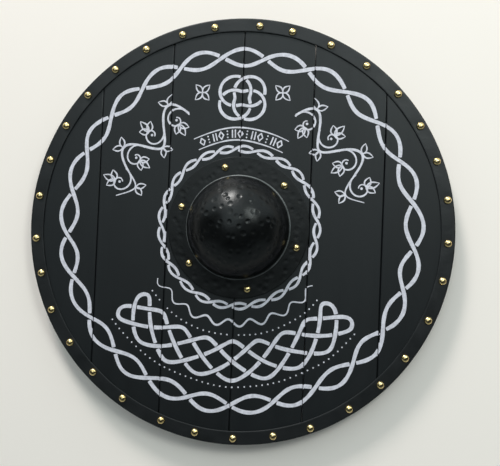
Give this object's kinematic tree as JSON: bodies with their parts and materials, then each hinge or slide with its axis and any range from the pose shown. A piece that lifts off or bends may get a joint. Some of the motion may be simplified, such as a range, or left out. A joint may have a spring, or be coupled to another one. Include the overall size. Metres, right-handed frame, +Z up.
{
  "type": "wooden round shield",
  "caption": "Round plank shield, painted black with white knotwork, with a steel rim band on brass tacks, a hammered steel boss, and a grip bar behind.",
  "frame": {"origin": "on the surface that the shield lies on, below the middle of the board", "axes": "+Z up out of the painted front through the boss, +Y along the planks towards the shield's top, +X to its right seen from the front"},
  "size_m": [0.61, 0.61, 0.0956],
  "materials": {
    "painted_wood": "satin black paint over fine wood grain, with white hand-painted knotwork",
    "painted_rim": "satin black paint on thin steel, slightly dented round the tacks",
    "brass_tacks": "polished, darker at the foot of each head",
    "painted_boss": "glossy black paint on hammered steel, satin on the flange",
    "brass_rivets": "polished",
    "bar_wood": "dark stained and oiled wood"
  },
  "bodies": {
    "root": {"plank_1": "painted_wood", "plank_2": "painted_wood", "plank_3": "painted_wood", "plank_4": "painted_wood", "plank_5": "painted_wood", "plank_6": "painted_wood", "rim_band": "painted_rim", "rim_tack_1": "brass_tacks", "rim_tack_2": "brass_tacks", "rim_tack_3": "brass_tacks", "rim_tack_4": "brass_tacks", "rim_tack_5": "brass_tacks", "rim_tack_6": "brass_tacks", "rim_tack_7": "brass_tacks", "rim_tack_8": "brass_tacks", "rim_tack_9": "brass_tacks", "rim_tack_10": "brass_tacks", "rim_tack_11": "brass_tacks", "rim_tack_12": "brass_tacks", "rim_tack_13": "brass_tacks", "rim_tack_14": "brass_tacks", "rim_tack_15": "brass_tacks", "rim_tack_16": "brass_tacks", "rim_tack_17": "brass_tacks", "rim_tack_18": "brass_tacks", "rim_tack_19": "brass_tacks", "rim_tack_20": "brass_tacks", "rim_tack_21": "brass_tacks", "rim_tack_22": "brass_tacks", "rim_tack_23": "brass_tacks", "rim_tack_24": "brass_tacks", "rim_tack_25": "brass_tacks", "rim_tack_26": "brass_tacks", "rim_tack_27": "brass_tacks", "rim_tack_28": "brass_tacks", "rim_tack_29": "brass_tacks", "rim_tack_30": "brass_tacks", "rim_tack_31": "brass_tacks", "rim_tack_32": "brass_tacks", "rim_tack_33": "brass_tacks", "boss": "painted_boss", "boss_rivet_1": "brass_rivets", "boss_rivet_2": "brass_rivets", "boss_rivet_3": "brass_rivets", "boss_rivet_4": "brass_rivets", "boss_rivet_5": "brass_rivets", "boss_rivet_6": "brass_rivets", "grip_bar": "bar_wood", "batten_upper": "bar_wood", "batten_lower": "bar_wood"}
  },
  "joints": []
}
